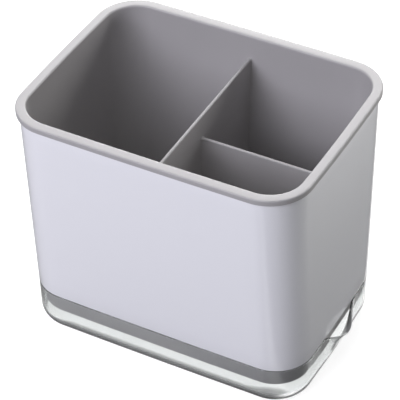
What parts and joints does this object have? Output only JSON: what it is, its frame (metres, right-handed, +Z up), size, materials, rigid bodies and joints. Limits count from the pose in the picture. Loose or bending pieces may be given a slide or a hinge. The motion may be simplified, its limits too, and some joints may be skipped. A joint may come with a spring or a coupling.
{
  "type": "cutlery drainer",
  "caption": "Sink-side cutlery drainer: a liner with dividers and a floor of drain slots hangs in a glossy sleeve that stands on a clear drip tray with a pouring spout.",
  "frame": {"origin": "middle of the drip tray's flat underside, under the middle of the body", "axes": "+Z up, +X to the short end with the pouring spout, the long front side faces -Y"},
  "size_m": [0.1863, 0.1364, 0.1604],
  "materials": {
    "clear_tray": "clear moulded plastic, glossy",
    "white_sleeve": "glossy cool white",
    "grey_liner": "satin warm grey"
  },
  "bodies": {
    "tray": {"drip_tray": "clear_tray"},
    "sleeve": {"sleeve": "white_sleeve"},
    "liner": {"liner": "grey_liner"}
  },
  "joints": [
    {"name": "sleeve_lift", "type": "slide", "parent": "tray", "child": "sleeve", "axis": [0, 0, 1], "range_m": [0, 0.04]},
    {"name": "liner_lift", "type": "slide", "parent": "sleeve", "child": "liner", "axis": [0, 0, 1], "range_m": [0, 0.145]}
  ]
}
